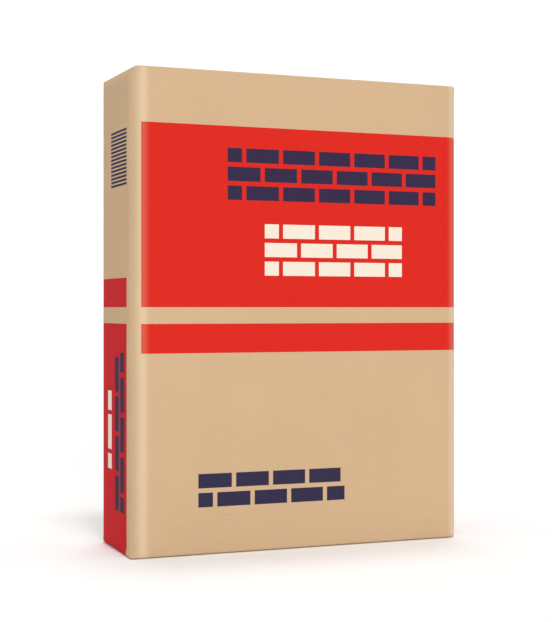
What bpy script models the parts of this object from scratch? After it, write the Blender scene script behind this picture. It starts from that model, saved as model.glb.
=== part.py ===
# A filled cement sack of kraft paper, standing on its bottom end.
# It is a block-bottom valve sack: a paper tube folded flat at both ends, a cover sheet pasted over each end,
# a flattened sleeve in one end of the top for filling, and the cement powder inside.
# Metres, +Z up. The origin is the middle of the footprint on the floor, and the front panel faces -Y.

import math
from collections import namedtuple

import bmesh
import bpy

# A level cut through the sack: its four sides, the radius of its upright edges, and the lean of its left
# side, which is how much further out the front end of that side lies than its back end
Section = namedtuple("Section", "left right front back corner lean")

# Driving dimensions
HEIGHT = 0.530
BODY = Section(left=-0.1985, right=0.2000, front=-0.0660, back=0.0660, corner=0.0180, lean=0.0)
TOP_RIM = Section(left=-0.1952, right=0.1955, front=-0.0655, back=0.0645, corner=0.0070, lean=-0.0020)
BOTTOM_RIM = Section(left=-0.1984, right=0.1960, front=-0.0655, back=0.0645, corner=0.0080, lean=0.0036)
SHOULDER = 0.010          # height over which the body draws in to each rim
TOP_FOLD = 0.002          # radius of the creased edge round the top
BOTTOM_FOLD = 0.004       # the same round the bottom, where the load rounds it
WALL = 0.0004             # the plies of the tube together
SHEET = 0.0004            # a cover sheet
COVER_MARGIN = 0.006      # bare paper between a cover sheet and the crease round it
GAP = 0.0003              # clearance between pieces that touch
SLIT_GAP = 0.0004         # the same round the sleeve, where the slit's edges slope a little through the wall

SLEEVE_WIDTH = 0.098
SLEEVE_HEIGHT = 0.0020
SLEEVE_LENGTH = 0.150
SLEEVE_WALL = 0.0003
SLEEVE_FOLD = 0.0008      # radius of the sleeve's folded long edges
SLEEVE_DROP = 0.0030      # from the sack's end down to the sleeve
SLEEVE_MOUTH_X = 0.1965   # the sleeve's open end, level with the side panel

CORNER_STEPS = 6          # facets round each upright edge
FOLD_STEPS = 3            # facets round the crease of an end
SHOULDER_STEPS = 4
SLEEVE_FOLD_STEPS = 2
CUT_TOLERANCE = 1e-6
SQUARELY = 0.7            # least share of a normal along X for a face that looks mostly along X
SHARP_ANGLE = math.radians(40)

# Heights worked out from these
SACK_BOTTOM = SHEET + GAP
SACK_TOP = HEIGHT - SHEET - GAP
SLEEVE_TOP = SACK_TOP - SLEEVE_DROP
SLEEVE_BOTTOM = SLEEVE_TOP - SLEEVE_HEIGHT
SLIT_TOP = SLEEVE_TOP + SLIT_GAP
SLIT_BOTTOM = SLEEVE_BOTTOM - SLIT_GAP

KRAFT = (0.70, 0.50, 0.29, 1.0)
COVER_KRAFT = (0.62, 0.43, 0.24, 1.0)
SLEEVE_KRAFT = (0.66, 0.47, 0.27, 1.0)
CEMENT = (0.33, 0.33, 0.32, 1.0)


def clear_scene():
    for item in list(bpy.data.objects):
        bpy.data.objects.remove(item, do_unlink=True)


def new_collection(name):
    collection = bpy.data.collections.new(name)
    bpy.context.scene.collection.children.link(collection)
    return collection


def new_material(name, colour, roughness):
    material = bpy.data.materials.new(name)
    material.use_nodes = True
    shader = material.node_tree.nodes["Principled BSDF"]
    shader.inputs["Base Color"].default_value = colour
    shader.inputs["Roughness"].default_value = roughness
    shader.inputs["Metallic"].default_value = 0.0
    return material


def new_piece(name, shape, collection, material):
    mesh = bpy.data.meshes.new(name)
    shape.to_mesh(mesh)
    shape.free()
    piece = bpy.data.objects.new(name, mesh)
    collection.objects.link(piece)
    mesh.materials.append(material)
    return piece


def add_thickness(piece, thickness):
    solidify = piece.modifiers.new("paper_thickness", "SOLIDIFY")
    solidify.thickness = thickness
    solidify.offset = -1.0
    solidify.use_even_offset = True
    solidify.use_rim = True


def between(start, end, share):
    return Section(*(a + (b - a) * share for a, b in zip(start, end)))


def drawn_in(section, inset):
    # The same section with every side moved inwards
    return Section(section.left + inset, section.right - inset, section.front + inset,
                   section.back - inset, section.corner - inset, section.lean)


def lean_at(section, y):
    # How far the left side's lean moves it at this depth
    return section.lean * (y - (section.front + section.back) / 2) / (section.back - section.front)


def section_at(height):
    # The sack's outer section at a height: a rim at each end, and the full body between the shoulders
    if height < (SACK_BOTTOM + SACK_TOP) / 2:
        rim, fold, from_end = BOTTOM_RIM, BOTTOM_FOLD, height - SACK_BOTTOM
    else:
        rim, fold, from_end = TOP_RIM, TOP_FOLD, SACK_TOP - height
    if from_end < fold:
        reach = min(1.0, 1 - from_end / fold)
        return drawn_in(rim, fold * (1 - math.sqrt(1 - reach * reach)))
    share = min(1.0, (from_end - fold) / SHOULDER)
    return between(rim, BODY, math.sin(share * math.pi / 2))


def cut_heights():
    # Round the crease of each end, up its shoulder, and along both edges of the valve slit
    heights = [SLIT_BOTTOM, SLIT_TOP]
    for end, inwards, fold in ((SACK_BOTTOM, 1, BOTTOM_FOLD), (SACK_TOP, -1, TOP_FOLD)):
        for step in range(1, FOLD_STEPS + 1):
            heights.append(end + inwards * fold * (1 - math.cos(math.pi / 2 * step / FOLD_STEPS)))
        for step in range(1, SHOULDER_STEPS + 1):
            heights.append(end + inwards * (fold + SHOULDER * (step / SHOULDER_STEPS) ** 2))
    return heights


def height_of(edge):
    return abs(edge.verts[0].co.z - edge.verts[1].co.z)


def width_of(edge):
    return abs(edge.verts[0].co.x - edge.verts[1].co.x)


def sack_surface(inset):
    # A box with round upright edges, cut into level bands, each cut then drawn to the sack's section there.
    # The inset moves the whole surface inwards along its normals, for what fills the sack.
    shape = bmesh.new()
    bmesh.ops.create_cube(shape, size=1.0)
    half_width = (BODY.right - BODY.left) / 2
    half_depth = (BODY.back - BODY.front) / 2
    for vert in shape.verts:
        vert.co.x *= 2 * half_width
        vert.co.y *= 2 * half_depth
        vert.co.z = SACK_TOP if vert.co.z > 0 else SACK_BOTTOM
    upright = [edge for edge in shape.edges if height_of(edge) > HEIGHT / 2]
    bmesh.ops.bevel(shape, geom=upright, offset=BODY.corner, segments=CORNER_STEPS,
                    profile=0.5, affect="EDGES")
    for height in cut_heights():
        everything = shape.verts[:] + shape.edges[:] + shape.faces[:]
        bmesh.ops.bisect_plane(shape, geom=everything, dist=CUT_TOLERANCE,
                               plane_co=(0, 0, height), plane_no=(0, 0, 1))
    for vert in shape.verts:
        section = section_at(vert.co.z)
        round_x = (abs(vert.co.x) - half_width + BODY.corner) / BODY.corner
        round_y = (abs(vert.co.y) - half_depth + BODY.corner) / BODY.corner
        from_side = section.corner * (1 - round_x)
        from_face = section.corner * (1 - round_y)
        vert.co.y = section.back - from_face if vert.co.y > 0 else section.front + from_face
        if vert.co.x > 0:
            vert.co.x = section.right - from_side
        else:
            vert.co.x = section.left + from_side + lean_at(section, vert.co.y)
    bmesh.ops.recalc_face_normals(shape, faces=shape.faces[:])
    bmesh.ops.triangulate(shape, faces=shape.faces[:], quad_method="FIXED")
    shape.normal_update()
    moves = [vert.normal * vert.calc_shell_factor() * inset for vert in shape.verts]
    for vert, move in zip(shape.verts, moves):
        vert.co -= move
    return shape


def open_valve_slit(shape):
    # Takes out the strip of the right side panel that the sleeve passes through
    half = SLEEVE_WIDTH / 2 + SLIT_GAP
    for side in (-half, half):
        strip = slit_faces(shape)
        edges = [edge for edge in shape.edges if any(face in strip for face in edge.link_faces)]
        verts = [vert for vert in shape.verts if any(face in strip for face in vert.link_faces)]
        bmesh.ops.bisect_plane(shape, geom=verts + edges + strip, dist=CUT_TOLERANCE,
                               plane_co=(0, side, 0), plane_no=(0, 1, 0))
    slit = [face for face in slit_faces(shape) if abs(face.calc_center_median().y) < half]
    bmesh.ops.delete(shape, geom=slit, context="FACES")


def slit_faces(shape):
    found = []
    for face in shape.faces:
        centre = face.calc_center_median()
        if SLIT_BOTTOM < centre.z < SLIT_TOP and face.normal.x > SQUARELY:
            found.append(face)
    return found


def make_sack(collection):
    shape = sack_surface(0.0)
    open_valve_slit(shape)
    sack = new_piece("paper_sack", shape, collection, new_material("kraft_paper", KRAFT, 0.85))
    add_thickness(sack, WALL)
    sack.data.shade_smooth()
    sack.data.set_sharp_from_angle(angle=SHARP_ANGLE)
    return sack


def make_cover(name, rim, fold, low, collection):
    # A flat sheet over one end, inside the crease all round
    inside = drawn_in(rim, fold + COVER_MARGIN)
    shape = bmesh.new()
    bmesh.ops.create_grid(shape, x_segments=1, y_segments=1, size=0.5)
    for vert in shape.verts:
        vert.co.y = inside.back if vert.co.y > 0 else inside.front
        vert.co.x = inside.right if vert.co.x > 0 else inside.left + lean_at(rim, vert.co.y)
        vert.co.z = low + SHEET
    cover = new_piece(name, shape, collection, new_material(name + "_paper", COVER_KRAFT, 0.85))
    add_thickness(cover, SHEET)
    return cover


def make_sleeve(collection):
    # A paper tube pressed flat, open at both ends
    shape = bmesh.new()
    bmesh.ops.create_cube(shape, size=1.0)
    for vert in shape.verts:
        vert.co.x = SLEEVE_MOUTH_X if vert.co.x > 0 else SLEEVE_MOUTH_X - SLEEVE_LENGTH
        vert.co.y *= SLEEVE_WIDTH
        vert.co.z = SLEEVE_TOP if vert.co.z > 0 else SLEEVE_BOTTOM
    ends = [face for face in shape.faces if abs(face.normal.x) > SQUARELY]
    long_edges = [edge for edge in shape.edges if width_of(edge) > SLEEVE_LENGTH / 2]
    bmesh.ops.delete(shape, geom=ends, context="FACES_ONLY")
    bmesh.ops.bevel(shape, geom=long_edges, offset=SLEEVE_FOLD, segments=SLEEVE_FOLD_STEPS,
                    profile=0.5, affect="EDGES")
    sleeve = new_piece("valve_sleeve", shape, collection, new_material("sleeve_paper", SLEEVE_KRAFT, 0.85))
    add_thickness(sleeve, SLEEVE_WALL)
    return sleeve


def make_cement(collection, cutters):
    # The powder takes the sack's inner shape, with a step where the sleeve lies on it
    fill = sack_surface(WALL + GAP)
    cement = new_piece("cement_fill", fill, collection, new_material("cement", CEMENT, 0.95))
    step = bmesh.new()
    bmesh.ops.create_cube(step, size=1.0)
    inner_end = SLEEVE_MOUTH_X - SLEEVE_LENGTH - GAP
    for vert in step.verts:
        vert.co.x = BODY.right + SHOULDER if vert.co.x > 0 else inner_end
        vert.co.y *= SLEEVE_WIDTH + 2 * GAP
        vert.co.z = HEIGHT if vert.co.z > 0 else SLEEVE_BOTTOM - GAP
    cutter = new_piece("sleeve_step", step, cutters, new_material("cutter", CEMENT, 0.5))
    cutter.hide_render = True
    cutter.display_type = "WIRE"
    cut = cement.modifiers.new("sleeve_step", "BOOLEAN")
    cut.operation = "DIFFERENCE"
    cut.solver = "EXACT"
    cut.object = cutter
    return cement


def main():
    clear_scene()
    parts = new_collection("cement_bag")
    cutters = new_collection("cutters")
    make_sack(parts)
    make_cover("top_cover_sheet", TOP_RIM, TOP_FOLD, HEIGHT - SHEET, parts)
    make_cover("bottom_cover_sheet", BOTTOM_RIM, BOTTOM_FOLD, 0.0, parts)
    make_sleeve(parts)
    make_cement(parts, cutters)


main()
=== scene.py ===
# A filled cement sack of kraft paper, dressed for the render on the frame packed from its CAD.
# Metres, +Z up. The front panel faces -Y and the sack stands on the floor at z = 0.
import math

import bmesh
import bpy
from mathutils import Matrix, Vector


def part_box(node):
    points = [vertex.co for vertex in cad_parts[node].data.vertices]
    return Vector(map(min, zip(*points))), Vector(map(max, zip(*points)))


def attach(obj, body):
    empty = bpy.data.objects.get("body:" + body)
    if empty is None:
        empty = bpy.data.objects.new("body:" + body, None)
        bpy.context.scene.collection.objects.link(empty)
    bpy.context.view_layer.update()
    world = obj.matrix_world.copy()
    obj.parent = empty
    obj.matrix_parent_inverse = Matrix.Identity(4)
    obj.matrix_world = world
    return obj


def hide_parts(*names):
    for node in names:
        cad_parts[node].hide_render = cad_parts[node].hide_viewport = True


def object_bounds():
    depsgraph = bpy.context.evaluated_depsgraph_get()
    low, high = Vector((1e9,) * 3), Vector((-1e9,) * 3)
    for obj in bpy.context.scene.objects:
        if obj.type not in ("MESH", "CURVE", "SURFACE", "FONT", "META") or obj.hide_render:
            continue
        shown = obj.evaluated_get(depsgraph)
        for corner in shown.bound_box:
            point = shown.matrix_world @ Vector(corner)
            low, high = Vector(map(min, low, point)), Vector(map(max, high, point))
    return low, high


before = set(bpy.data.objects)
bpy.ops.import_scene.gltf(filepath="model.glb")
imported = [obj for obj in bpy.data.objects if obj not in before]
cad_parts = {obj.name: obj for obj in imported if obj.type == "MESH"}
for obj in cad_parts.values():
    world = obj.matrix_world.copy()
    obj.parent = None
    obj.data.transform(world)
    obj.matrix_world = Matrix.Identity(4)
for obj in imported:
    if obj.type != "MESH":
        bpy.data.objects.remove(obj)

cadLow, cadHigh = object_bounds()
sackLow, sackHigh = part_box("paper_sack")
print("frame loaded:", ", ".join(sorted(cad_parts)))


# Modelling helpers

modelling = {
    "smoothAngle": 35.0,         # degrees: sharper folds than this stay crisp
    "squarely": 0.9,             # how much of a normal lies along an axis for the face to count as facing it
    "mostly": 0.5,               # the same, for one that may lean or be part of a rounding
    "levelWithin": 0.00001,      # metres: how near to a level a point counts as on it
}


def startPiece(name):
    # The primitive just added becomes the named piece, with its place in its mesh, and opens in edit mode
    piece = bpy.context.object
    piece.name = name
    piece.data.name = name
    bpy.ops.object.transform_apply(location=True, rotation=True, scale=True)
    bpy.ops.object.mode_set(mode="EDIT")
    return piece


def dropSelection():
    if bpy.context.mode != "OBJECT":
        bpy.ops.object.mode_set(mode="OBJECT")
    bpy.ops.object.select_all(action="DESELECT")


def pick(kind, test):
    # Selects the VERT, EDGE or FACE elements that pass the test, and nothing else
    bpy.ops.mesh.select_mode(type=kind)
    bpy.ops.mesh.select_all(action="DESELECT")
    shape = bmesh.from_edit_mesh(bpy.context.edit_object.data)
    for element in {"VERT": shape.verts, "EDGE": shape.edges, "FACE": shape.faces}[kind]:
        if test(element):
            element.select_set(True)
    bmesh.update_edit_mesh(bpy.context.edit_object.data)


def anyFace(face):
    return True


def cutFaces(test, point, normal):
    # Cuts the faces that pass the test along a plane
    pick("FACE", test)
    bpy.ops.mesh.bisect(plane_co=point, plane_no=normal)


def moveVerts(place):
    # Gives every vertex the place worked out from where it is
    shape = bmesh.from_edit_mesh(bpy.context.edit_object.data)
    for vert in shape.verts:
        vert.co = place(vert.co.copy())
    bmesh.update_edit_mesh(bpy.context.edit_object.data)


def turnOutwards():
    bpy.ops.mesh.select_all(action="SELECT")
    bpy.ops.mesh.normals_make_consistent(inside=False)


def finishPaper(piece, thickness, material):
    # Leaves edit mode and gives the surface its thickness, inwards, and its material
    bpy.ops.object.mode_set(mode="OBJECT")
    bpy.ops.object.modifier_add(type="SOLIDIFY")
    wall = piece.modifiers[-1]
    wall.thickness = thickness
    wall.offset = -1.0
    wall.use_even_offset = True
    bpy.ops.object.modifier_apply(modifier=wall.name)
    bpy.ops.object.shade_smooth_by_angle(angle=math.radians(modelling["smoothAngle"]))
    piece.data.materials.append(material)


# Material helpers

mixFactor, mixFirst, mixSecond, mixResult = 0, 6, 7, 2      # the Mix node's sockets for colours
noiseLow, noiseHigh = 0.25, 0.75                            # nearly all of a noise texture lies between these
smoothNoise = 1.0                                           # its detail where only the broad form is wanted


def linearColour(hexCode):
    # The sRGB colour in linear light, with full alpha
    channels = [int(hexCode[start:start + 2], 16) / 255 for start in (1, 3, 5)]
    return [c / 12.92 if c <= 0.04045 else ((c + 0.055) / 1.055) ** 2.4 for c in channels] + [1.0]


def metres(millimetres):
    return millimetres / 1000.0


def perMetre(millimetres):
    # A texture's scale for features of this size, on coordinates in metres
    return 1000.0 / millimetres


def addNode(tree, kind, inputs, **settings):
    # Adds a node with its settings, then fills each input with a value or a link
    node = tree.nodes.new(kind)
    for name, value in settings.items():
        setattr(node, name, value)
    for name, value in inputs.items():
        if isinstance(value, bpy.types.NodeSocket):
            tree.links.new(value, node.inputs[name])
        else:
            node.inputs[name].default_value = value
    return node


def newMaterial(name):
    material = bpy.data.materials.new(name)
    material.use_nodes = True
    return material, material.node_tree, material.node_tree.nodes["Principled BSDF"]


# Kraft paper

kraftLook = {
    "paper": "#c5a784",          # unbleached kraft, the outer ply
    "cover": "#bd9d76",          # the end sheets, a heavier and darker kraft
    "sleeve": "#ba9b76",
    # patterns in the tone: their size in mm, and the share by which they swing it to either side
    "cloud": {"size": 90.0, "swing": 0.025, "detail": 2.0, "roughness": 0.5},    # slow changes across a panel
    "floc": {"size": 5.0, "swing": 0.012, "detail": 3.0, "roughness": 0.6},      # clumps of fibre
    # real fibres are 0.03 mm wide, drawn as coarse as the render can show
    "fibre": {"size": 0.9, "swing": 0.025, "detail": 2.0, "roughness": 0.7},
    "fibreLength": 7.0,          # mm: along the web, which runs up the sack
    "shive": "#6b4a2c",          # dark wood specks left in the pulp
    "shiveSpacing": 30.0,        # mm
    "shiveSize": 1.5,            # mm: real ones are up to 1 mm, drawn a little larger so that they show
    "shiveSlim": 0.6, "shiveSoft": 0.5, "shiveStrength": 0.7,     # breadth to length, full core, cover
    "paintedHighlight": "#f2e0c8",           # painted highlight: the pale colour laid on the round upright edges where light catches them
    "highlightOnPaper": 0.25, "highlightOnInk": 0.15,          # how strong the painted highlight is on bare paper and on ink
    "highlightFrom": 0.0040, "highlightMost": 0.0135, "highlightTo": 0.0225,     # metres in from the side panel where the painted highlight starts, is strongest and ends
    "highlightShift": 0.0050,         # metres further out on the right edges
    "highlightCore": 0.0075, "highlightReach": 0.0100,     # metres behind the front and the back: all of the painted highlight, and none
    "highlightRight": 1.1,            # how much stronger the painted highlight is on the right edges
    "cockleSize": 26.0,          # mm: slight waves where the paper dried unevenly
    "cockleHeight": 0.00010, "pastedCockle": 0.00028,       # on the sack, and on sheets that were pasted wet
    "grainHeight": 0.000018,
    "roughness": 0.50,
    "sheen": 0.01,               # specular level: unglazed paper is matt even at a glancing angle
}


def addPaintedHighlight(tree, place):
    # How much painted highlight each spot gets: most on the round upright edges, where light catches the
    # rounding
    axes = addNode(tree, "ShaderNodeSeparateXYZ", {"Vector": place})
    fromLeft = addNode(tree, "ShaderNodeMath", {0: axes.outputs["X"], 1: cadLow.x}, operation="SUBTRACT")
    fromRight = addNode(tree, "ShaderNodeMath", {0: cadHigh.x + kraftLook["highlightShift"], 1: axes.outputs["X"]},
                        operation="SUBTRACT")
    fromSide = addNode(tree, "ShaderNodeMath", {0: fromLeft.outputs["Value"], 1: fromRight.outputs["Value"]},
                       operation="MINIMUM").outputs["Value"]
    out = addNode(tree, "ShaderNodeMath", {0: axes.outputs["Y"]}, operation="ABSOLUTE")
    fromPanel = addNode(tree, "ShaderNodeMath", {0: cadHigh.y, 1: out.outputs["Value"]},
                        operation="SUBTRACT").outputs["Value"]
    paintedHighlight = addNode(tree, "ShaderNodeMapRange", {
        "Value": axes.outputs["X"], "From Min": cadLow.x, "From Max": cadHigh.x,
        "To Min": 1.0, "To Max": kraftLook["highlightRight"]}).outputs["Result"]
    for distance, noneAt, allAt in ((fromSide, "highlightFrom", "highlightMost"), (fromSide, "highlightTo", "highlightMost"),
                                    (fromPanel, "highlightReach", "highlightCore")):
        share = addNode(tree, "ShaderNodeMapRange", {
            "Value": distance, "From Min": kraftLook[noneAt], "From Max": kraftLook[allAt]},
            interpolation_type="SMOOTHSTEP").outputs["Result"]
        paintedHighlight = addNode(tree, "ShaderNodeMath", {0: paintedHighlight, 1: share}, operation="MULTIPLY").outputs["Value"]
    return paintedHighlight


def addPaperTone(tree, place, colour):
    # The paper's colour with its clouds, clumps, fibres and specks, and the fibres' pattern for the relief
    slim = kraftLook["fibre"]["size"] / kraftLook["fibreLength"]
    along = addNode(tree, "ShaderNodeMapping", {"Vector": place, "Scale": (1.0, 1.0, slim)}).outputs["Vector"]
    tone = 1.0
    for name, coordinates in (("cloud", place), ("floc", place), ("fibre", along)):
        form = kraftLook[name]
        pattern = addNode(tree, "ShaderNodeTexNoise", {
            "Vector": coordinates, "Scale": perMetre(form["size"]),
            "Detail": form["detail"], "Roughness": form["roughness"]}).outputs["Fac"]
        share = addNode(tree, "ShaderNodeMapRange", {
            "Value": pattern, "From Min": noiseLow, "From Max": noiseHigh,
            "To Min": 1.0 - form["swing"], "To Max": 1.0 + form["swing"]}).outputs["Result"]
        tone = addNode(tree, "ShaderNodeMath", {0: tone, 1: share}, operation="MULTIPLY").outputs["Value"]
    toned = addNode(tree, "ShaderNodeVectorMath", {0: colour[:3], "Scale": tone}, operation="SCALE")
    slender = addNode(tree, "ShaderNodeMapping", {
        "Vector": place, "Scale": (1.0, 1.0, kraftLook["shiveSlim"])})
    spots = addNode(tree, "ShaderNodeTexVoronoi", {
        "Vector": slender.outputs["Vector"], "Scale": perMetre(kraftLook["shiveSpacing"])})
    reach = kraftLook["shiveSize"] / kraftLook["shiveSpacing"] / 2
    near = addNode(tree, "ShaderNodeMapRange", {
        "Value": spots.outputs["Distance"], "From Min": reach, "From Max": reach * kraftLook["shiveSoft"],
        "To Min": 0.0, "To Max": kraftLook["shiveStrength"]}).outputs["Result"]
    speckled = addNode(tree, "ShaderNodeMix", {
        mixFactor: near, mixFirst: toned.outputs["Vector"], mixSecond: linearColour(kraftLook["shive"])},
        data_type="RGBA").outputs[mixResult]
    return speckled, pattern


def addPaperRelief(tree, place, grain, cockleHeight):
    cockle = addNode(tree, "ShaderNodeTexNoise", {
        "Vector": place, "Scale": perMetre(kraftLook["cockleSize"]), "Detail": smoothNoise})
    waves = addNode(tree, "ShaderNodeBump", {
        "Height": cockle.outputs["Fac"], "Strength": 1.0, "Distance": cockleHeight})
    return addNode(tree, "ShaderNodeBump", {
        "Height": grain, "Strength": 1.0, "Distance": kraftLook["grainHeight"],
        "Normal": waves.outputs["Normal"]}).outputs["Normal"]


def makePlainKraft(name, hexCode, cockleHeight):
    # Unbleached kraft paper, machine finished: a matt brown with fibres along the web and a few dark specks.
    # Where it was pasted wet it dried in slight waves.
    material, tree, shader = newMaterial(name)
    place = addNode(tree, "ShaderNodeTexCoord", {}).outputs["Object"]
    colour, grain = addPaperTone(tree, place, linearColour(hexCode))
    tree.links.new(colour, shader.inputs["Base Color"])
    tree.links.new(addPaperRelief(tree, place, grain, cockleHeight), shader.inputs["Normal"])
    shader.inputs["Roughness"].default_value = kraftLook["roughness"]
    shader.inputs["Specular IOR Level"].default_value = kraftLook["sheen"]
    return material


# The print: broad bands of red with rows of plain bricks, all in places measured on the panels in mm.
# A place is (from, to, low, high): from and to run from the near upright edge along the panel.

bareLow, bareHigh = 252.0, 270.0       # mm: the strip of bare kraft that runs round between the reds
printLook = {
    "frontRed": "#ce251e", "sideRed": "#c1091a", "navy": "#2f2c46", "cream": "#e5dac9",
    "inkRoughness": 0.45,        # the ink film is a little smoother than the paper
    "inkThin": 0.975,            # cover of the ink on the highest fibres
    "wanderSize": 0.8, "edgeWander": 0.00025,    # mm and m: how an ink edge strays where it meets fibres
    "round": 12.0,               # mm that a print goes on behind its panel, and so how far round an edge
    "frontFields": [
        ("frontRed", (12.0, 420.0, bareHigh, 469.0)),
        ("frontRed", (12.0, 420.0, 220.0, bareLow)),
    ],
    "sideFields": [
        ("sideRed", (21.0, 122.0, -5.0, bareLow)),
        ("sideRed", (21.0, 122.0, bareHigh, 302.0)),
    ],
    "brick": {"long": 38.8, "high": 15.7, "joint": 5.0},
    "brickScale": 10.0,          # the brick pattern's own units to the metre
    "frontWalls": [
        ("navy", (110.0, 368.0, 388.0, 450.1)),
        ("cream", (153.8, 324.0, 305.0, 367.1)),
        ("navy", (76.0, 251.2, 52.0, 93.4)),
    ],
    "sideWalls": [
        ("navy", (30.0, 71.4, 45.0, 220.2)),
        ("cream", (80.0, 100.7, 88.8, 176.4)),
    ],
    "sideBars": {"ink": "navy", "place": (21.0, 82.0, 403.0, 466.0), "pitch": 4.2, "share": 0.6},
}


def millimetresToPlace(panel, area):
    # The middle and half size, in metres, of the box that a printed area fills on the front or left panel
    start, end, low, high = (metres(value) for value in area)
    reach = metres(printLook["round"])
    if panel == "front":
        corner = Vector((cadLow.x + start, cadLow.y - reach, low))
        other = Vector((cadLow.x + end, cadLow.y + reach, high))
    else:
        corner = Vector((-cadHigh.x - reach, cadLow.y + start, low))
        other = Vector((-cadHigh.x + reach, cadLow.y + end, high))
    return (corner + other) / 2, (other - corner) / 2


def addBoxMask(tree, place, middle, half):
    # 1 inside the box and 0 outside
    away = addNode(tree, "ShaderNodeVectorMath", {0: place, 1: middle}, operation="SUBTRACT")
    away = addNode(tree, "ShaderNodeVectorMath", {0: away.outputs["Vector"]}, operation="ABSOLUTE")
    spare = addNode(tree, "ShaderNodeVectorMath", {0: half, 1: away.outputs["Vector"]}, operation="SUBTRACT")
    axes = addNode(tree, "ShaderNodeSeparateXYZ", {"Vector": spare.outputs["Vector"]})
    least = addNode(tree, "ShaderNodeMath", {0: axes.outputs["X"], 1: axes.outputs["Y"]}, operation="MINIMUM")
    least = addNode(tree, "ShaderNodeMath", {0: least.outputs["Value"], 1: axes.outputs["Z"]},
                    operation="MINIMUM")
    return addNode(tree, "ShaderNodeMath", {0: least.outputs["Value"], 1: 0.0},
                   operation="GREATER_THAN").outputs["Value"]


def addBrickMask(tree, along, up, start, low):
    # Running bond with its low corner at start and low, in mm: 1 on a brick and 0 in a joint
    brick, size = printLook["brick"], printLook["brickScale"]
    joint = metres(brick["joint"])
    flat = addNode(tree, "ShaderNodeCombineXYZ", {"X": along, "Y": up})
    corner = [metres(start) - joint / 2, metres(low) - joint / 2, 0.0]
    moved = addNode(tree, "ShaderNodeVectorMath", {0: flat.outputs["Vector"], 1: corner},
                    operation="SUBTRACT")
    wall = addNode(tree, "ShaderNodeTexBrick", {
        "Vector": moved.outputs["Vector"], "Scale": size,
        "Mortar Size": joint / 2 * size, "Mortar Smooth": 0.0,
        "Brick Width": metres(brick["long"] + brick["joint"]) * size,
        "Row Height": metres(brick["high"] + brick["joint"]) * size}, offset=0.5, offset_frequency=2)
    return addNode(tree, "ShaderNodeMath", {0: 1.0, 1: wall.outputs["Fac"]},
                   operation="SUBTRACT").outputs["Value"]


def addBarMask(tree, up):
    # Even bars across the panel: 1 on a bar and 0 between
    bars = addNode(tree, "ShaderNodeMath", {0: up, 1: perMetre(printLook["sideBars"]["pitch"])},
                   operation="MULTIPLY")
    bars = addNode(tree, "ShaderNodeMath", {0: bars.outputs["Value"]}, operation="FRACT")
    return addNode(tree, "ShaderNodeMath", {0: bars.outputs["Value"], 1: printLook["sideBars"]["share"]},
                   operation="LESS_THAN").outputs["Value"]


def addInkMasks(tree, place):
    # The pairs of ink and mask in the order of printing, with edges that stray a little
    fine = addNode(tree, "ShaderNodeTexNoise", {
        "Vector": place, "Scale": perMetre(printLook["wanderSize"]), "Detail": smoothNoise})
    noiseMiddle = [(noiseLow + noiseHigh) / 2] * 3
    stray = addNode(tree, "ShaderNodeVectorMath", {0: fine.outputs["Color"], 1: noiseMiddle},
                    operation="SUBTRACT")
    stray = addNode(tree, "ShaderNodeVectorMath", {
        0: stray.outputs["Vector"], "Scale": printLook["edgeWander"]}, operation="SCALE")
    inkPlace = addNode(tree, "ShaderNodeVectorMath", {0: place, 1: stray.outputs["Vector"]},
                       operation="ADD").outputs["Vector"]
    axes = addNode(tree, "ShaderNodeSeparateXYZ", {"Vector": inkPlace})
    up = axes.outputs["Z"]
    fromLeft = addNode(tree, "ShaderNodeMath", {0: axes.outputs["X"], 1: cadLow.x},
                       operation="SUBTRACT").outputs["Value"]
    fromFront = addNode(tree, "ShaderNodeMath", {0: axes.outputs["Y"], 1: cadLow.y},
                        operation="SUBTRACT").outputs["Value"]

    # The right side panel has the same red areas as the left one, so its spots are read as lying there
    outward = addNode(tree, "ShaderNodeMath", {0: axes.outputs["X"]}, operation="ABSOLUTE")
    outward = addNode(tree, "ShaderNodeMath", {0: outward.outputs["Value"], 1: -1.0}, operation="MULTIPLY")
    bothSides = addNode(tree, "ShaderNodeCombineXYZ", {
        "X": outward.outputs["Value"], "Y": axes.outputs["Y"], "Z": up}).outputs["Vector"]

    inks = []
    for ink, area in printLook["frontFields"]:
        inks.append((ink, addBoxMask(tree, inkPlace, *millimetresToPlace("front", area))))
    for ink, area in printLook["sideFields"]:
        inks.append((ink, addBoxMask(tree, bothSides, *millimetresToPlace("side", area))))
    patterned = []
    for ink, area in printLook["frontWalls"]:
        patterned.append((ink, "front", area, addBrickMask(tree, fromLeft, up, area[0], area[2])))
    for ink, area in printLook["sideWalls"]:               # these rows run up the panel
        patterned.append((ink, "side", area, addBrickMask(tree, up, fromFront, area[2], area[0])))
    bars = printLook["sideBars"]
    patterned.append((bars["ink"], "side", bars["place"], addBarMask(tree, up)))
    for ink, panel, area, pattern in patterned:
        window = addBoxMask(tree, inkPlace, *millimetresToPlace(panel, area))
        inks.append((ink, addNode(tree, "ShaderNodeMath", {0: window, 1: pattern},
                                  operation="MULTIPLY").outputs["Value"]))
    return inks


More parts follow.
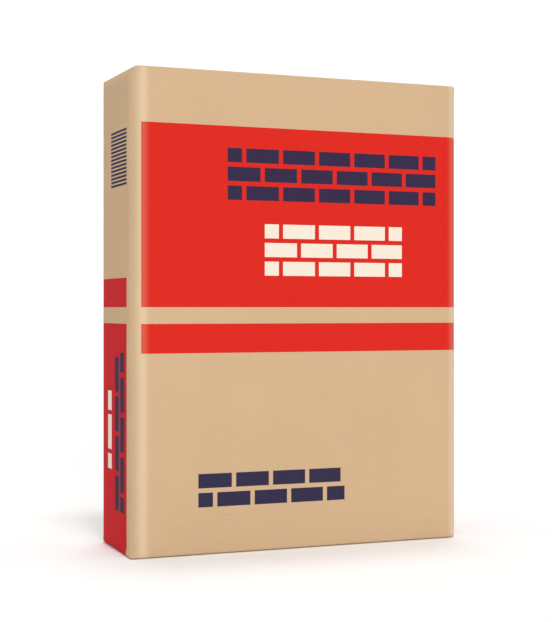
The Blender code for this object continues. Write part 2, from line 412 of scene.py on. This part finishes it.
def makePrintedKraft():
    # Kraft paper printed by flexography: thin even ink through which the paper's fibres show a little, with a
    # painted highlight on its round upright edges
    material, tree, shader = newMaterial("kraft_paper_flexo_printed")
    place = addNode(tree, "ShaderNodeTexCoord", {}).outputs["Object"]
    paper, grain = addPaperTone(tree, place, linearColour(kraftLook["paper"]))
    # painted highlight: a pale colour mixed into the paper on the round upright edges, stronger on the right
    highlightMask = addPaintedHighlight(tree, place)
    highlightShare = addNode(tree, "ShaderNodeMath", {0: highlightMask, 1: kraftLook["highlightOnPaper"]}, operation="MULTIPLY")
    colour = addNode(tree, "ShaderNodeMix", {
        mixFactor: highlightShare.outputs["Value"], mixFirst: paper, mixSecond: linearColour(kraftLook["paintedHighlight"])},
        data_type="RGBA").outputs[mixResult]

    # The ink lies thinner on the high fibres, so the paper shows a little through it. It is also thinned
    # under the painted highlight on the upright edges, so the highlight shows on the ink too.
    cover = addNode(tree, "ShaderNodeMapRange", {
        "Value": grain, "From Min": noiseLow, "From Max": noiseHigh,
        "To Min": 1.0, "To Max": printLook["inkThin"]}).outputs["Result"]
    inkUnderHighlight = addNode(tree, "ShaderNodeMath", {0: highlightMask, 1: -kraftLook["highlightOnInk"], 2: 1.0},
                    operation="MULTIPLY_ADD")
    cover = addNode(tree, "ShaderNodeMath", {0: cover, 1: inkUnderHighlight.outputs["Value"]},
                    operation="MULTIPLY").outputs["Value"]
    inked = 0.0
    for ink, mask in addInkMasks(tree, place):
        laid = addNode(tree, "ShaderNodeMath", {0: mask, 1: cover}, operation="MULTIPLY").outputs["Value"]
        colour = addNode(tree, "ShaderNodeMix", {
            mixFactor: laid, mixFirst: colour, mixSecond: linearColour(printLook[ink])},
            data_type="RGBA").outputs[mixResult]
        inked = addNode(tree, "ShaderNodeMath", {0: inked, 1: mask}, operation="MAXIMUM").outputs["Value"]
    gloss = addNode(tree, "ShaderNodeMapRange", {
        "Value": inked, "To Min": kraftLook["roughness"], "To Max": printLook["inkRoughness"]})
    tree.links.new(colour, shader.inputs["Base Color"])
    tree.links.new(gloss.outputs["Result"], shader.inputs["Roughness"])
    tree.links.new(addPaperRelief(tree, place, grain, kraftLook["cockleHeight"]), shader.inputs["Normal"])
    shader.inputs["Specular IOR Level"].default_value = kraftLook["sheen"]
    return material


# Cement

cementLook = {
    "light": "#a3a29b", "dark": "#85847e",
    "lump": {"size": 9.0, "detail": 5.0, "roughness": 0.6},       # mm: soft lumps left by settling
    "grainSize": 0.9,            # mm: real grains are under 0.1 mm, drawn as coarse as the render can show
    "lift": 0.2,                 # how far the tone is moved towards the light one
    "lumpHeight": 0.0006,
    "roughness": 0.95, "gloss": 0.2,
}


def makeCementPowder():
    # Dry ground cement, settled: a dull grey powder with soft lumps and hardly any gloss
    material, tree, shader = newMaterial("cement_powder_settled")
    place = addNode(tree, "ShaderNodeTexCoord", {}).outputs["Object"]
    form = cementLook["lump"]
    lumps = addNode(tree, "ShaderNodeTexNoise", {
        "Vector": place, "Scale": perMetre(form["size"]), "Detail": form["detail"],
        "Roughness": form["roughness"]})
    grains = addNode(tree, "ShaderNodeTexNoise", {
        "Vector": place, "Scale": perMetre(cementLook["grainSize"]), "Detail": smoothNoise})
    both = addNode(tree, "ShaderNodeMath", {
        0: lumps.outputs["Fac"], 1: grains.outputs["Fac"], 2: cementLook["lift"]}, operation="MULTIPLY_ADD")
    colour = addNode(tree, "ShaderNodeMix", {
        mixFactor: both.outputs["Value"], mixFirst: linearColour(cementLook["dark"]),
        mixSecond: linearColour(cementLook["light"])}, data_type="RGBA")
    bump = addNode(tree, "ShaderNodeBump", {
        "Height": lumps.outputs["Fac"], "Strength": 1.0, "Distance": cementLook["lumpHeight"]})
    tree.links.new(colour.outputs[mixResult], shader.inputs["Base Color"])
    tree.links.new(bump.outputs["Normal"], shader.inputs["Normal"])
    shader.inputs["Roughness"].default_value = cementLook["roughness"]
    shader.inputs["Specular IOR Level"].default_value = cementLook["gloss"]
    return material


# The sack

sackForm = {
    # level sections: the sides, the radius of the upright edges and of the near left one, and how much
    # further out the front end of the left side lies than its back end
    "body": {"left": -0.1985, "right": 0.2000, "front": -0.0660, "back": 0.0660, "corner": 0.0180,
             "nearCorner": 0.0180, "lean": 0.0},
    "topRim": {"left": -0.1952, "right": 0.1960, "front": -0.0655, "back": 0.0645, "corner": 0.0060,
               "nearCorner": 0.0050, "lean": -0.0020},
    "bottomRim": {"left": -0.1984, "right": 0.1960, "front": -0.0655, "back": 0.0645, "corner": 0.0080,
                  "nearCorner": 0.0030, "lean": 0.0036},
    "shoulder": 0.010,           # height over which the body draws in to each rim
    "topCrease": 0.0014,         # radius of the folded edge round each end
    "bottomCrease": 0.0022,
    "wall": 0.0004,              # the pasted plies together
    "cornerSteps": 12, "creaseSteps": 4, "shoulderSteps": 6,
    "shoulderCrowding": 1.5,     # above 1, the levels lie closer together near the rim
    "meshPitch": 0.016,
    "swell": 0.0007,             # how far the powder presses the panels out between the edges
    "swellSize": 0.075,          # how broad its ups and downs are
    "swellMargin": 0.045,        # from the edges inwards, over which the swelling dies out
    "flapStep": 0.0003,          # one ply's step where a folded flap ends
    "flapSlope": 0.0008,         # the breadth over which it falls
    "flapEdge": -0.014,          # where the upper long flap ends, off the middle
    "tuckedSteps": 2,            # how many such steps the tucked short ends lie down
    # the seam's lap: where its step begins, where it starts to die out, and over what breadth it does
    "seamFrom": 0.062, "seamTo": 0.102, "seamFade": 0.040,
    "seamStep": 0.0003, "seamSlope": 0.0006,
}
valve = {
    "low": 0.5239, "high": 0.5267, "halfWidth": 0.0494,         # the slit in the right side panel
    "facing": 0.7,               # of a normal along +X: the shoulder that the slit is in leans a little
    "mouthX": 0.1965, "length": 0.150, "width": 0.098, "bottom": 0.5243, "top": 0.5263,       # the sleeve
    "paper": 0.0003, "fold": 0.0008, "foldSteps": 4, "strips": 10,
    "pressed": 0.55,             # how far its walls come together at the folds
}
coverForm = {
    "margin": 0.006,             # from the end's folded edge in to the sheet's
    "sheet": 0.0004, "pitch": 0.012,             # its thickness, and the breadth of its mesh strips
}

bodyHalfWidth = (sackForm["body"]["right"] - sackForm["body"]["left"]) / 2
bodyHalfDepth = (sackForm["body"]["back"] - sackForm["body"]["front"]) / 2
bodyCorner = sackForm["body"]["corner"]


def clampShare(value):
    return min(1.0, max(0.0, value))


def blendSections(first, second, share):
    return {key: first[key] + (second[key] - first[key]) * share for key in first}


def drawSectionIn(section, inset):
    return {"left": section["left"] + inset, "right": section["right"] - inset,
            "front": section["front"] + inset, "back": section["back"] - inset,
            "corner": section["corner"] - inset, "nearCorner": section["nearCorner"] - inset,
            "lean": section["lean"]}


def middleOf(section):
    return (section["left"] + section["right"]) / 2, (section["front"] + section["back"]) / 2


def leanAt(section, x, y):
    # How far the left side's lean moves a point in x: all of it at that side, and nothing at the right side
    middleY = middleOf(section)[1]
    depth = section["back"] - section["front"]
    share = (section["right"] - x) / (section["right"] - section["left"])
    return section["lean"] * share * (y - middleY) / depth


def endForm(top):
    # The rim of the top or bottom end, and the radius of its crease
    name = "top" if top else "bottom"
    return sackForm[name + "Rim"], sackForm[name + "Crease"]


def sectionAt(height):
    # A rim at each end, and the full body between the shoulders
    nearTop = height > (sackLow.z + sackHigh.z) / 2
    rim, crease = endForm(nearTop)
    fromEnd = sackHigh.z - height if nearTop else height - sackLow.z
    if fromEnd < crease:
        reach = min(1.0, 1 - fromEnd / crease)
        return drawSectionIn(rim, crease * (1 - math.sqrt(1 - reach * reach)))
    share = min(1.0, (fromEnd - crease) / sackForm["shoulder"])
    return blendSections(rim, sackForm["body"], math.sin(share * math.pi / 2))


def levelCuts():
    # The heights of the level rows: close together in the creases and shoulders, even between them
    heights = []
    ends = ((sackLow.z, 1, sackForm["bottomCrease"]), (sackHigh.z, -1, sackForm["topCrease"]))
    for end, inwards, crease in ends:
        for step in range(1, sackForm["creaseSteps"] + 1):
            turn = math.pi / 2 * step / sackForm["creaseSteps"]
            heights.append(end + inwards * crease * (1 - math.cos(turn)))
        for step in range(1, sackForm["shoulderSteps"] + 1):
            rise = sackForm["shoulder"] * (step / sackForm["shoulderSteps"]) ** sackForm["shoulderCrowding"]
            heights.append(end + inwards * (crease + rise))
    low = sackLow.z + sackForm["bottomCrease"] + sackForm["shoulder"]
    high = sackHigh.z - sackForm["topCrease"] - sackForm["shoulder"]
    steps = round((high - low) / sackForm["meshPitch"])
    heights += [low + (high - low) * step / steps for step in range(1, steps)]
    return heights + [valve["low"], valve["high"]]


def flapDepth(x, y, rim):
    # How far the folded end lies below its highest flap: the tucked ends lowest, then the lower long flap
    slope = sackForm["flapSlope"]
    middleX, middleY = middleOf(rim)
    fromShort = (rim["right"] - rim["left"]) / 2 - abs(x - middleX)
    fromLong = (rim["back"] - rim["front"]) / 2 - abs(y - middleY)
    tucked = clampShare((fromLong - fromShort) / slope)
    lower = clampShare((sackForm["flapEdge"] - (y - middleY)) / slope)
    return sackForm["flapStep"] * max(tucked * sackForm["tuckedSteps"], lower)


def cutFlapLines(test, rim):
    # Cuts an end along the edges of its folded flaps, with the foot and the head of each step
    middleX, middleY = middleOf(rim)
    for side in (-1, 1):
        for face in (-1, 1):
            corner = Vector((rim["right"] if side > 0 else rim["left"],
                             rim["back"] if face > 0 else rim["front"], 0.0))
            for step in (0.0, sackForm["flapSlope"]):
                cutFaces(test, corner + Vector((side * step, 0.0, 0.0)), (side, -face, 0.0))
    for step in (0.0, sackForm["flapSlope"]):
        cutFaces(test, (middleX, middleY + sackForm["flapEdge"] - step, 0.0), (0.0, 1.0, 0.0))


def cutSackBox():
    # A box of the body's size with round upright edges, cut into level rows and upright columns
    dropSelection()
    bpy.ops.mesh.primitive_cube_add(
        size=1.0, location=(0.0, 0.0, (sackLow.z + sackHigh.z) / 2),
        scale=(2 * bodyHalfWidth, 2 * bodyHalfDepth, sackHigh.z - sackLow.z))
    skin = startPiece("sack_skin")
    pick("EDGE", lambda edge: abs(edge.verts[0].co.z - edge.verts[1].co.z) > bodyHalfWidth)
    bpy.ops.mesh.bevel(offset=bodyCorner, segments=sackForm["cornerSteps"], profile=0.5, affect="EDGES")
    for height in levelCuts():
        cutFaces(anyFace, (0.0, 0.0, height), (0.0, 0.0, 1.0))
    for direction, half in ((Vector((1.0, 0.0, 0.0)), bodyHalfWidth),
                            (Vector((0.0, 1.0, 0.0)), bodyHalfDepth)):
        flat = half - bodyCorner
        steps = round(2 * flat / sackForm["meshPitch"])
        for step in range(1, steps):
            cutFaces(anyFace, direction * (flat * (2 * step / steps - 1)), direction)
    return skin


def toSection(co):
    # Draws a point of the straight box to the sack's section there: the round edges sharpen towards the rims
    section = sectionAt(co.z)
    rounding = section["nearCorner" if co.x < 0 and co.y < 0 else "corner"]
    wantedWidth = (section["right"] - section["left"]) / 2 - rounding
    wantedDepth = (section["back"] - section["front"]) / 2 - rounding
    flatWidth, flatDepth = bodyHalfWidth - bodyCorner, bodyHalfDepth - bodyCorner
    overX = max(0.0, abs(co.x) - bodyHalfWidth + bodyCorner) / bodyCorner * rounding
    overY = max(0.0, abs(co.y) - bodyHalfDepth + bodyCorner) / bodyCorner * rounding
    flatX = min(abs(co.x), flatWidth) / flatWidth * wantedWidth
    flatY = min(abs(co.y), flatDepth) / flatDepth * wantedDepth
    middleX, middleY = middleOf(section)
    x = middleX + math.copysign(flatX + overX, co.x)
    y = middleY + math.copysign(flatY + overY, co.y)
    return Vector((x + leanAt(section, x, y), y, co.z))


def cutReliefLines():
    # Cuts along the folded flaps at both ends, and along the pasted seam of the tube up the back
    for top in (True, False):
        level = sackHigh.z if top else sackLow.z
        cutFlapLines(lambda face: abs(face.calc_center_median().z - level) < modelling["levelWithin"],
                     endForm(top)[0])
    for x in (sackForm["seamFrom"], sackForm["seamFrom"] + sackForm["seamSlope"], sackForm["seamTo"]):
        cutFaces(lambda face: face.normal.y > modelling["squarely"], (x, 0.0, 0.0), (1.0, 0.0, 0.0))


def withRelief(co):
    # Sinks a point of the ends by its flap's depth, and raises one of the back by the seam's lap
    if co.z > sackHigh.z - modelling["levelWithin"]:
        co.z -= flapDepth(co.x, co.y, drawSectionIn(*endForm(True)))
    elif co.z < sackLow.z + modelling["levelWithin"]:
        co.z += flapDepth(co.x, co.y, drawSectionIn(*endForm(False)))
    elif co.y > 0 and abs(co.x) < sackForm["body"]["right"] - bodyCorner:
        rise = clampShare((co.x - sackForm["seamFrom"]) / sackForm["seamSlope"])
        fade = clampShare(1 - (co.x - sackForm["seamTo"]) / sackForm["seamFade"])
        co.y += sackForm["seamStep"] * rise * fade
    return co


def cutValveSlit():
    # Opens the slit of the valve, high in the right side panel
    for side in (-1, 1):
        cutFaces(lambda face: face.normal.x > valve["facing"]
                 and face.calc_center_median().z > valve["low"] - sackForm["shoulder"],
                 (0.0, side * valve["halfWidth"], 0.0), (0.0, 1.0, 0.0))
    pick("FACE", lambda face: face.normal.x > valve["facing"]
         and valve["low"] < face.calc_center_median().z < valve["high"]
         and abs(face.calc_center_median().y) < valve["halfWidth"])
    bpy.ops.mesh.delete(type="FACE")


def swellPanels(skin):
    # The powder swells the flat panels a little, unevenly, and not at all along the folds
    bpy.ops.object.mode_set(mode="OBJECT")
    group = skin.vertex_groups.new(name="panels")
    for vert in skin.data.vertices:
        facesFront = abs(vert.normal.y) > modelling["mostly"]
        fromFold = min(bodyHalfWidth - abs(vert.co.x) if facesFront else bodyHalfDepth - abs(vert.co.y),
                       vert.co.z - sackLow.z, sackHigh.z - vert.co.z)
        if abs(vert.normal.z) < modelling["mostly"]:
            group.add([vert.index], clampShare(fromFold / sackForm["swellMargin"]) ** 2, "REPLACE")
    clouds = bpy.data.textures.new("uneven_fill", "CLOUDS")
    clouds.noise_scale = sackForm["swellSize"]
    bpy.ops.object.modifier_add(type="DISPLACE")
    swell = skin.modifiers[-1]
    swell.texture = clouds
    swell.texture_coords = "LOCAL"
    swell.vertex_group = group.name
    swell.mid_level = 0.0
    swell.strength = sackForm["swell"]
    bpy.ops.object.modifier_apply(modifier=swell.name)


def makeSackSkin(material):
    skin = cutSackBox()
    moveVerts(toSection)
    cutReliefLines()
    moveVerts(withRelief)
    cutValveSlit()
    turnOutwards()
    swellPanels(skin)
    finishPaper(skin, sackForm["wall"], material)
    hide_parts("paper_sack")
    return skin


def makeCoverSheet(name, node, top, material):
    # The sheet pasted over a folded end follows the steps of the flaps under it
    rim, crease = endForm(top)
    fold = drawSectionIn(rim, crease)
    inside = drawSectionIn(rim, crease + coverForm["margin"])
    width, depth = inside["right"] - inside["left"], inside["back"] - inside["front"]
    low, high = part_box(node)
    dropSelection()
    bpy.ops.mesh.primitive_plane_add(size=1.0, location=(*middleOf(inside), high.z if top else low.z))
    bpy.context.object.scale = (width, depth, 1.0)
    sheet = startPiece(name)
    cutFlapLines(anyFace, rim)
    for step in range(1, round(width / coverForm["pitch"])):
        cutFaces(anyFace, (inside["left"] + step * coverForm["pitch"], 0.0, 0.0), (1.0, 0.0, 0.0))

    def pasted(co):
        co.z += flapDepth(co.x, co.y, fold) * (-1 if top else 1)
        co.x += leanAt(rim, co.x, co.y)
        return co
    moveVerts(pasted)
    if not top:                                # a plane faces up, and this one is seen from below
        bpy.ops.mesh.select_all(action="SELECT")
        bpy.ops.mesh.flip_normals()
    finishPaper(sheet, coverForm["sheet"], material)
    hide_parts(node)
    return sheet


def makeValveSleeve(material):
    # A paper tube pressed flat, a little open along its middle
    middleZ = (valve["bottom"] + valve["top"]) / 2
    dropSelection()
    bpy.ops.mesh.primitive_cube_add(
        size=1.0, location=(valve["mouthX"] - valve["length"] / 2, 0.0, middleZ),
        scale=(valve["length"], valve["width"], valve["top"] - valve["bottom"]))
    sleeve = startPiece("valve_sleeve_paper")
    pick("FACE", lambda face: abs(face.normal.x) > modelling["squarely"])
    bpy.ops.mesh.delete(type="ONLY_FACE")
    pick("EDGE", lambda edge: abs(edge.verts[0].co.x - edge.verts[1].co.x) > valve["length"] / 2)
    bpy.ops.mesh.bevel(offset=valve["fold"], segments=valve["foldSteps"], profile=0.5, affect="EDGES")
    for step in range(1, valve["strips"]):
        y = valve["width"] * (step / valve["strips"] - 0.5)
        cutFaces(anyFace, (0.0, y, 0.0), (0.0, 1.0, 0.0))

    def pressed(co):
        # the walls come together towards the folded edges
        share = abs(co.y) / (valve["width"] / 2)
        co.z = middleZ + (co.z - middleZ) * (1 - valve["pressed"] * share ** 2)
        return co
    moveVerts(pressed)
    turnOutwards()
    finishPaper(sleeve, valve["paper"], material)
    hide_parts("valve_sleeve")
    return sleeve


# Studio

studio = {
    "cameraPlace": (-0.6193, -1.5099, 0.2687),
    "cameraTurn": 22.112,        # degrees to the right of straight on
    "lens": 81.09,               # mm
    "shiftY": -0.00418,
    "skyStrength": 0.40, "backdropStrength": 1.08,
    "backdropTop": 0.24, "skyFrom": 0.40,        # sines of the lift where the backdrop starts and ends fading
    "panels": {                  # degrees: heading from +Y towards +X, lift above the floor
        "overhead_panel": {"heading": 17.0, "lift": 80.0, "breadth": 14.0, "strength": 0.80},
        "high_front_panel": {"heading": 182.0, "lift": 67.0, "breadth": 12.0, "strength": 0.88},
        "low_front_panel": {"heading": 193.0, "lift": 15.0, "breadth": 24.0, "strength": 0.90},
    },
    "floorColour": "#fdfdfd", "floorSize": 60.0,
    "floorDrop": 0.0001,         # keeps the floor's face apart from the sheet that stands on it
}


def placeCamera():
    turn = math.radians(studio["cameraTurn"])
    bpy.ops.object.camera_add(location=studio["cameraPlace"], rotation=(math.pi / 2, 0.0, -turn))
    camera = bpy.context.object
    camera.data.lens = studio["lens"]
    camera.data.shift_y = studio["shiftY"]
    bpy.context.scene.camera = camera
    bpy.context.scene.view_settings.view_transform = "Standard"


def lightWorld():
    # An even pale sky over a brighter ring, as of a lit backdrop that runs round the studio
    world = bpy.data.worlds.new("studio")
    world.use_nodes = True
    tree = world.node_tree
    direction = addNode(tree, "ShaderNodeTexCoord", {}).outputs["Generated"]
    rise = addNode(tree, "ShaderNodeSeparateXYZ", {"Vector": direction}).outputs["Z"]
    strength = addNode(tree, "ShaderNodeMapRange", {
        "Value": rise, "From Min": studio["backdropTop"], "From Max": studio["skyFrom"],
        "To Min": studio["backdropStrength"], "To Max": studio["skyStrength"]},
        interpolation_type="SMOOTHSTEP")
    tree.links.new(strength.outputs["Result"], tree.nodes["Background"].inputs["Strength"])
    tree.nodes["Background"].inputs["Color"].default_value = (1.0, 1.0, 1.0, 1.0)
    bpy.context.scene.world = world


def hangPanels():
    # Three soft panels far off: one high and a little behind, and two in front, one over the other
    for name, lamp in studio["panels"].items():
        lift, heading = math.radians(lamp["lift"]), math.radians(lamp["heading"])
        level = math.cos(lift)
        towards = Vector((math.sin(heading) * level, math.cos(heading) * level, math.sin(lift)))
        bpy.ops.object.light_add(type="SUN", rotation=towards.to_track_quat("Z", "Y").to_euler())
        panel = bpy.context.object
        panel.name = name
        panel.data.energy = lamp["strength"]
        panel.data.angle = math.radians(lamp["breadth"])


def layFloor():
    bpy.ops.mesh.primitive_plane_add(size=studio["floorSize"], location=(0.0, 0.0, -studio["floorDrop"]))
    floor = bpy.context.object
    floor.name = "studio_floor"
    # Matt white painted board: no gloss, so the sack stands on it with a soft shade and no reflection
    material, tree, shader = newMaterial("white_painted_board")
    shader.inputs["Base Color"].default_value = linearColour(studio["floorColour"])
    shader.inputs["Roughness"].default_value = 1.0
    shader.inputs["Specular IOR Level"].default_value = 0.0
    floor.data.materials.append(material)


dropSelection()
placeCamera()
lightWorld()
hangPanels()
layFloor()
print("camera, lights and floor placed")

skin = makeSackSkin(makePrintedKraft())
print("sack skin:", len(skin.data.polygons), "faces")

coverKraft = makePlainKraft("kraft_paper_end_sheet", kraftLook["cover"], kraftLook["pastedCockle"])
topSheet = makeCoverSheet("top_sheet_paper", "top_cover_sheet", True, coverKraft)
bottomSheet = makeCoverSheet("bottom_sheet_paper", "bottom_cover_sheet", False, coverKraft)
sleeve = makeValveSleeve(makePlainKraft("kraft_paper_sleeve", kraftLook["sleeve"], kraftLook["cockleHeight"]))
print("cover sheets and valve sleeve made")

cementPowder = makeCementPowder()
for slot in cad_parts["cement_fill"].material_slots:
    slot.material = cementPowder
for piece, slotName in ((skin, "kraft_paper"), (topSheet, "cover_paper"), (bottomSheet, "cover_paper"),
                        (sleeve, "sleeve_paper")):
    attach(piece, "root")
print("materials and bodies assigned")
